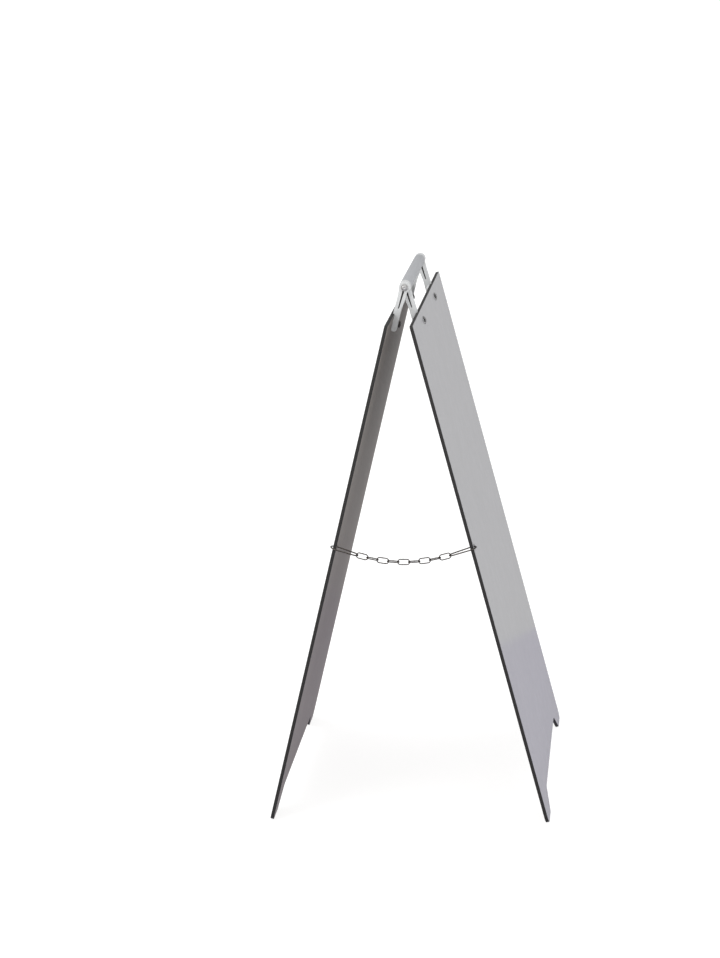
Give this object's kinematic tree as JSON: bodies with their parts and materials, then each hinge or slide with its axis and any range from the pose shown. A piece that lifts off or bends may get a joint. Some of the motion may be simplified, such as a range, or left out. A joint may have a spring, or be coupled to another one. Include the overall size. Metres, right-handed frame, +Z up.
{
  "type": "sandwich board",
  "caption": "Folding A-frame pavement sign: composite panels hung in a pair from one pivot under a carrying grip, with moulded hinge arms and a chain that limits the opening.",
  "frame": {"origin": "on the floor, midway between the two leaves and midway along the grip", "axes": "+Z up, X across the two leaves in the direction in which they open, Y along the grip; the chain hangs near the panels' -Y edges; the row is stored open, standing on its four feet"},
  "size_m": [0.4872, 0.6057, 0.9285],
  "materials": {
    "panel_core": "matte black polyethylene core, cut edge",
    "outer_skin": "gloss light grey coated aluminium skin",
    "inner_skin": "satin warm grey coated aluminium skin",
    "hinge_arm": "satin moulded off-white plastic",
    "grip_tube": "smooth cool grey plastic tube",
    "grip_plug": "satin moulded light grey plastic",
    "pivot_steel": "zinc plated, satin",
    "spacer": "matte dark plastic",
    "panel_bolt": "zinc plated, satin",
    "nut": "dull plated steel",
    "chain": "zinc plated wire, lightly dulled"
  },
  "bodies": {
    "pivot": {"pivot_bolt": "pivot_steel", "pivot_cap_nut": "pivot_steel", "pivot_spacers": "spacer"},
    "grip": {"grip_tube": "grip_tube", "grip_plug_near": "grip_plug", "grip_plug_far": "grip_plug"},
    "left_leaf": {"left_panel_core": "panel_core", "left_outer_skin": "outer_skin", "left_inner_skin": "inner_skin", "left_arm_near": "hinge_arm", "left_arm_far": "hinge_arm", "left_carriage_bolt_near": "panel_bolt", "left_carriage_bolt_far": "panel_bolt", "left_washer_near": "nut", "left_washer_far": "nut", "left_nut_near": "nut", "left_nut_far": "nut"},
    "right_leaf": {"right_panel_core": "panel_core", "right_outer_skin": "outer_skin", "right_inner_skin": "inner_skin", "right_arm_near": "hinge_arm", "right_arm_far": "hinge_arm", "right_carriage_bolt_near": "panel_bolt", "right_carriage_bolt_far": "panel_bolt", "right_washer_near": "nut", "right_washer_far": "nut", "right_nut_near": "nut", "right_nut_far": "nut"},
    "loop_left": {"chain_loop_left": "chain"},
    "loop_right": {"chain_loop_right": "chain"},
    "link_1": {"chain_link_1": "chain"},
    "link_2": {"chain_link_2": "chain"},
    "link_3": {"chain_link_3": "chain"},
    "link_4": {"chain_link_4": "chain"},
    "link_5": {"chain_link_5": "chain"},
    "link_6": {"chain_link_6": "chain"},
    "link_7": {"chain_link_7": "chain"},
    "link_8": {"chain_link_8": "chain"},
    "link_9": {"chain_link_9": "chain"}
  },
  "joints": [
    {"name": "fold_left", "type": "hinge", "parent": "pivot", "child": "left_leaf", "pos_m": [0, 0, 0.91845], "axis": [0, -1, 0], "range_deg": [0, 10.3]},
    {"name": "fold_right", "type": "hinge", "parent": "pivot", "child": "right_leaf", "pos_m": [0, 0, 0.91845], "axis": [0, 1, 0], "range_deg": [0, 10.32]},
    {"name": "grip_spin", "type": "hinge", "parent": "pivot", "child": "grip", "pos_m": [0, 0, 0.91845], "axis": [0, 1, 0], "continuous": true},
    {"name": "loop_left_swing", "type": "hinge", "parent": "left_leaf", "child": "loop_left", "pos_m": [-0.08609, -0.2938, 0.53795], "axis": [0, 1, 0], "range_deg": [0, 31.06]},
    {"name": "loop_right_swing", "type": "hinge", "parent": "right_leaf", "child": "loop_right", "pos_m": [0.08609, -0.2938, 0.53795], "axis": [0, -1, 0], "range_deg": [0, 31.06]},
    {"name": "link_1_turn", "type": "hinge", "parent": "loop_left", "child": "link_1", "pos_m": [-0.07813, -0.2938, 0.47855], "axis": [0, 1, 0], "range_deg": [0, 56.65]},
    {"name": "link_2_turn", "type": "hinge", "parent": "link_1", "child": "link_2", "pos_m": [-0.06306, -0.2938, 0.47451], "axis": [0, 1, 0], "range_deg": [0, 3.41]},
    {"name": "link_3_turn", "type": "hinge", "parent": "link_2", "child": "link_3", "pos_m": [-0.0435, -0.2938, 0.47035], "axis": [0, 1, 0], "range_deg": [-28.03, 0]},
    {"name": "link_4_turn", "type": "hinge", "parent": "link_3", "child": "link_4", "pos_m": [-0.02785, -0.2938, 0.46815], "axis": [0, 1, 0], "range_deg": [-21.11, 0]},
    {"name": "link_5_turn", "type": "hinge", "parent": "link_4", "child": "link_5", "pos_m": [-0.0079, -0.2938, 0.46676], "axis": [0, 1, 0], "range_deg": [-31.68, 0]},
    {"name": "link_9_turn", "type": "hinge", "parent": "loop_right", "child": "link_9", "pos_m": [0.07813, -0.2938, 0.47855], "axis": [0, -1, 0], "range_deg": [0, 56.65]},
    {"name": "link_8_turn", "type": "hinge", "parent": "link_9", "child": "link_8", "pos_m": [0.06306, -0.2938, 0.47451], "axis": [0, -1, 0], "range_deg": [0, 3.41]},
    {"name": "link_7_turn", "type": "hinge", "parent": "link_8", "child": "link_7", "pos_m": [0.0435, -0.2938, 0.47035], "axis": [0, -1, 0], "range_deg": [-28.03, 0]},
    {"name": "link_6_turn", "type": "hinge", "parent": "link_7", "child": "link_6", "pos_m": [0.02785, -0.2938, 0.46815], "axis": [0, -1, 0], "range_deg": [-21.11, 0]}
  ],
  "couplings": [
    {"joint": "fold_right", "follows": "fold_left", "ratio": 1},
    {"joint": "loop_left_swing", "follows": "fold_left", "ratio": 3.0136},
    {"joint": "loop_right_swing", "follows": "fold_left", "ratio": 3.0136},
    {"joint": "link_1_turn", "follows": "fold_left", "ratio": 5.4981},
    {"joint": "link_2_turn", "follows": "fold_left", "ratio": 0.32913},
    {"joint": "link_3_turn", "follows": "fold_left", "ratio": -2.7194},
    {"joint": "link_4_turn", "follows": "fold_left", "ratio": -2.0476},
    {"joint": "link_5_turn", "follows": "fold_left", "ratio": -3.0738},
    {"joint": "link_9_turn", "follows": "fold_left", "ratio": 5.4981},
    {"joint": "link_8_turn", "follows": "fold_left", "ratio": 0.32913},
    {"joint": "link_7_turn", "follows": "fold_left", "ratio": -2.7194},
    {"joint": "link_6_turn", "follows": "fold_left", "ratio": -2.0476}
  ]
}
